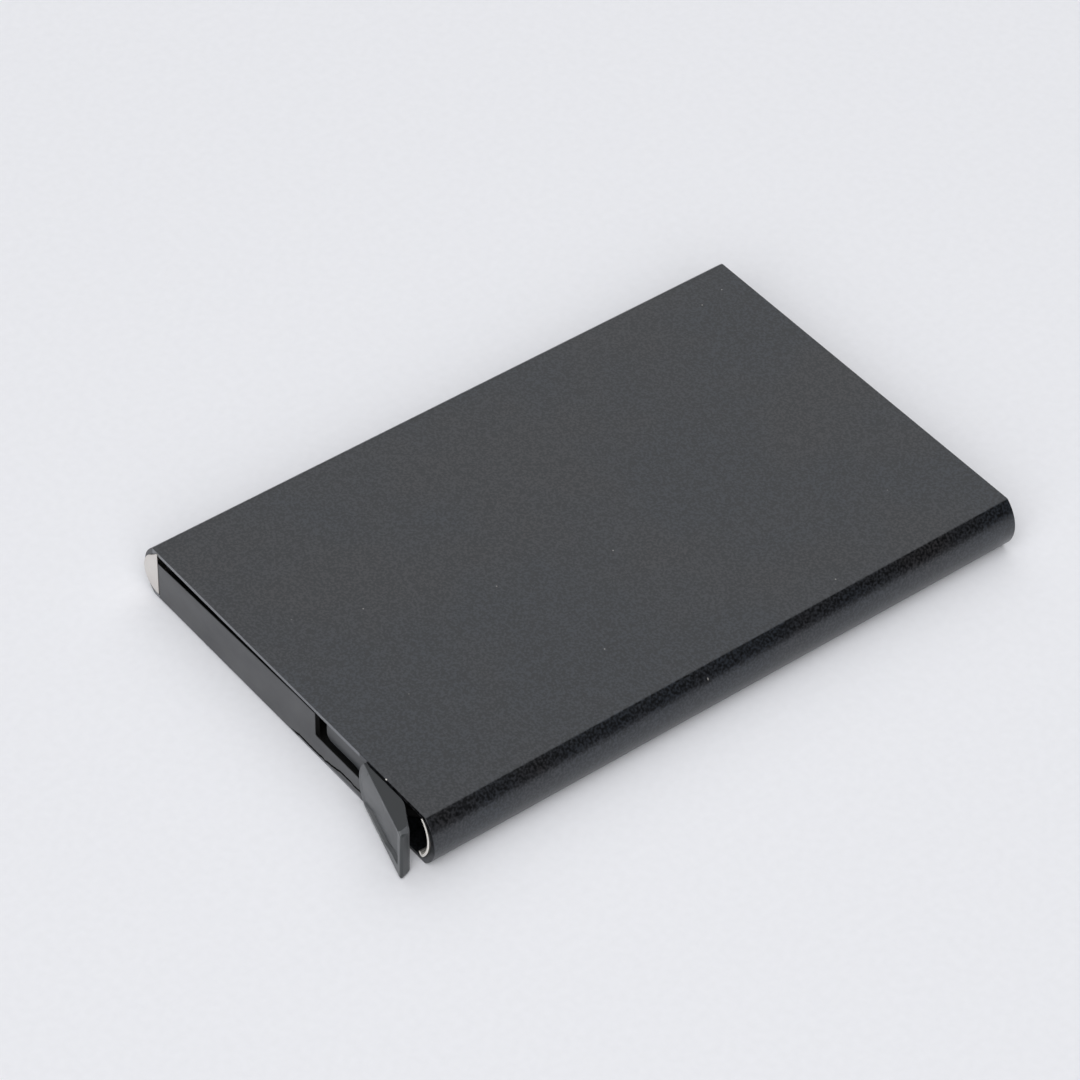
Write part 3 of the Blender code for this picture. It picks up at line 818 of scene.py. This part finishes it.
def make_strip(name, side, start_y, material, slot_node):
    """Steel liner with two punched and bowed fingers; side is +1 near the lever, -1 away from it."""
    section = strip_section()
    middle = len(section) - 1 - STRIP_ROWS // 2
    stops = [start_y]
    for start in FINGER_STARTS:
        stops += [start + WINDOW_LENGTH * i / FINGER_STEPS for i in range(FINGER_STEPS + 1)]
    stops.append(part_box(slot_node)[1].y)
    bm = bmesh.new()
    grid = [[bm.verts.new((side * p.x, y, p.y)) for p in section] for y in stops]
    for i in range(len(stops) - 1):
        inside = any(start - NUDGE < stops[i] and stops[i + 1] < start + WINDOW_LENGTH + NUDGE
                     for start in FINGER_STARTS)
        for j in range(len(section) - 1):
            if inside and middle - WINDOW_ROWS <= j < middle + WINDOW_ROWS:
                continue
            bm.faces.new((grid[i][j], grid[i][j + 1], grid[i + 1][j + 1], grid[i + 1][j]))
    for start in FINGER_STARTS:
        root = grid[stops.index(start)][middle - FINGER_ROWS:middle + FINGER_ROWS + 1]
        add_finger(bm, side, start, root)
    strip = new_object(name, bm)
    sheet = strip.modifiers.new("sheet", "SOLIDIFY")
    sheet.thickness = STRIP_THICKNESS
    sheet.offset = 0.0
    rounding = strip.modifiers.new("burnished_edges", "BEVEL")
    rounding.width = 0.05 * MM
    rounding.segments = 2
    rounding.limit_method = "ANGLE"
    rounding.angle_limit = radians(50)
    strip.data.shade_smooth()
    strip.data.set_sharp_from_angle(angle=radians(40))
    dress(strip, material, "case", "spring_strip", slot_node)


def make_far_tab(material):
    """Half-round end tab of the far liner, folded over the sleeve's end."""
    outline = []
    for p in arc((0.0, 0.0), 1.0, radians(118), radians(255), 36):
        height = TAB_RISE if p.y > 0 else TAB_DROP
        outline.append(Vector((TAB_X + TAB_WIDTH * p.x, TAB_Z + height * p.y)))
    straight_side = ((-28.25, 0.95), (-28.20, 7.95), (-28.40, 8.02))
    outline += [Vector((x * MM, z * MM)) for x, z in straight_side]
    tab = plate("far_tab", outline, END_Y - 0.18 * MM, END_Y - 0.02 * MM, edge=0.045 * MM, along="Y")
    dress(tab, material, "case", "spring_strip")


def make_rivet(material):
    """Rivet that the lever turns on: a low domed head on a shank that stands in the cap's floor."""
    top = CAVITY_HIGH - 0.5 * MM
    head_low = top - 0.6 * MM
    head_radius = 2.2 * MM
    shank_radius = 1.3 * MM
    rivet = lathe("pivot_rivet", [
        (0.0, top), (1.0 * MM, top - 0.02 * MM), (1.8 * MM, top - 0.14 * MM), (head_radius, top - 0.38 * MM),
        (head_radius, head_low), (shank_radius, head_low), (shank_radius, cap_low.z), (0.0, cap_low.z),
    ], pivot)
    dress(rivet, material, "case", "pin", "pivot_pin")


# --- room, light and camera ----------------------------------------------------------------------

def make_floor():
    bm = bmesh.new()
    bmesh.ops.create_grid(bm, x_segments=1, y_segments=1, size=3.0)
    floor = new_object("paper_floor", bm)
    floor.location.z = -0.02 * MM
    floor.data.materials.append(floor_material())


def soft_light(name, direction, distance, size, power):
    """White softbox that stands in a direction from the object and faces it."""
    data = bpy.data.lights.new(name, "AREA")
    data.shape = "RECTANGLE"
    data.size = size[0]
    data.size_y = size[1]
    data.energy = power
    light = bpy.data.objects.new(name, data)
    way = Vector(direction).normalized()
    light.location = way * distance
    light.rotation_euler = way.to_track_quat("Z", "Y").to_euler()
    bpy.context.scene.collection.objects.link(light)


def make_lights():
    soft_light("back_softbox", direction=(-0.40, 0.30, 0.866), distance=1.8, size=(2.9, 2.7), power=22.8)
    soft_light("front_fill", direction=(0.50, -0.50, 0.70), distance=3.0, size=(3.95, 3.55), power=112.0)
    world = bpy.data.worlds.new("room")
    world.use_nodes = True
    world.node_tree.nodes["Background"].inputs["Color"].default_value = (0.016, 0.016, 0.017, 1.0)
    bpy.context.scene.world = world


CAMERA_AZIMUTH = radians(51.48)
CAMERA_ELEVATION = radians(43.81)
CAMERA_ROLL = radians(1.30)
CAMERA_DISTANCE = 593.5 * MM
CAMERA_LENS = 150.8
AIM_RIGHT = -5.49 * MM
AIM_UP = 3.70 * MM


def make_camera():
    back = Vector((sin(CAMERA_AZIMUTH) * cos(CAMERA_ELEVATION),
                   -cos(CAMERA_AZIMUTH) * cos(CAMERA_ELEVATION), sin(CAMERA_ELEVATION)))
    level = Vector((cos(CAMERA_AZIMUTH), sin(CAMERA_AZIMUTH), 0.0))
    upright = back.cross(level)
    right = level * cos(CAMERA_ROLL) + upright * sin(CAMERA_ROLL)
    up = upright * cos(CAMERA_ROLL) - level * sin(CAMERA_ROLL)
    data = bpy.data.cameras.new("camera")
    data.sensor_width = 36.0
    data.lens = CAMERA_LENS
    data.clip_start = 0.01
    camera = bpy.data.objects.new("camera", data)
    turn = Matrix((right, up, back)).transposed()
    place = back * CAMERA_DISTANCE + right * AIM_RIGHT + up * AIM_UP
    camera.matrix_world = Matrix.Translation(place) @ turn.to_4x4()
    bpy.context.scene.collection.objects.link(camera)
    bpy.context.scene.camera = camera


# --- assembly -------------------------------------------------------------------------------------

def make_end_cap():
    cap_plastic = plastic_material(
        "cap_plastic", dark=(0.050, 0.052, 0.056), light=(0.068, 0.070, 0.074), roughness=0.44)
    # The cap's inner body and tray get a near-black copy of the cap's plastic: painted shade inside the
    # sleeve.
    painted_shade_plastic = plastic_material(
        "painted_shade_plastic", dark=(0.006, 0.006, 0.006), light=(0.010, 0.010, 0.010), roughness=0.60)
    # Near-black, barely reflecting sheet behind the flange's lower edge: painted shade in the gap.
    gap_painted_shade = plastic_material(
        "gap_painted_shade", dark=(0.0010, 0.0009, 0.0008), light=(0.0030, 0.0026, 0.0022), roughness=0.9,
        gloss=0.04)
    make_cap_flange(cap_plastic)
    make_cap_bead(gap_painted_shade)
    make_cap_lip(cap_plastic)
    make_cap_plug(painted_shade_plastic)
    make_cap_tray(painted_shade_plastic)


def make_lever():
    # The handle's top and outer end get darker tones than its dish: painted shade.
    top_painted_shade = (0.016, 0.019, 0.022)
    end_painted_shade = (0.036, 0.040, 0.042)
    # The whole handle is on the positive side of X, so 0.0 marks no second face.
    faces = [("Z", HANDLE_HIGH, HANDLE_LOW, top_painted_shade), ("X", END_FACE_X, 0.0, end_painted_shade)]
    lever_plastic = plastic_material(
        "lever_plastic", dark=(0.046, 0.049, 0.053), light=(0.062, 0.066, 0.071), roughness=0.38)
    # The handle gets a lighter copy of the lever's plastic: painted reflection in the dish.
    handle_plastic_painted_light = plastic_material(
        "handle_plastic_painted_light", dark=(0.070, 0.075, 0.080), light=(0.112, 0.117, 0.123), roughness=0.36,
        faces=faces)
    make_handle(handle_plastic_painted_light)
    make_steps(lever_plastic)
    make_heel(lever_plastic)
    make_hub(lever_plastic)
    make_neck(lever_plastic)


def make_liners():
    spring_steel = spring_steel_material(
        "spring_steel", dark=(0.69, 0.65, 0.61), light=(0.76, 0.73, 0.69), roughness=0.36)
    # The near liner gets a darker copy of the same steel as painted shade, and its cut end is painted bright
    # as a painted highlight.
    near_steel_painted_shade_and_highlight = spring_steel_material(
        "near_steel_painted_shade_and_highlight", dark=(0.40, 0.39, 0.37), light=(0.48, 0.47, 0.45), roughness=0.50,
        cut_end=NEAR_END)
    make_strip("liner_near", 1, NEAR_END, near_steel_painted_shade_and_highlight, "spring_strip_near")
    make_strip("liner_far", -1, FAR_END, spring_steel, "spring_strip_far")
    make_far_tab(spring_steel)


def main():
    bpy.context.scene.view_settings.view_transform = "Standard"
    make_camera()
    make_floor()
    make_lights()
    make_sleeve(anodised_material())
    make_end_cap()
    make_lever()
    make_liners()
    make_rivet(rivet_material())


main()
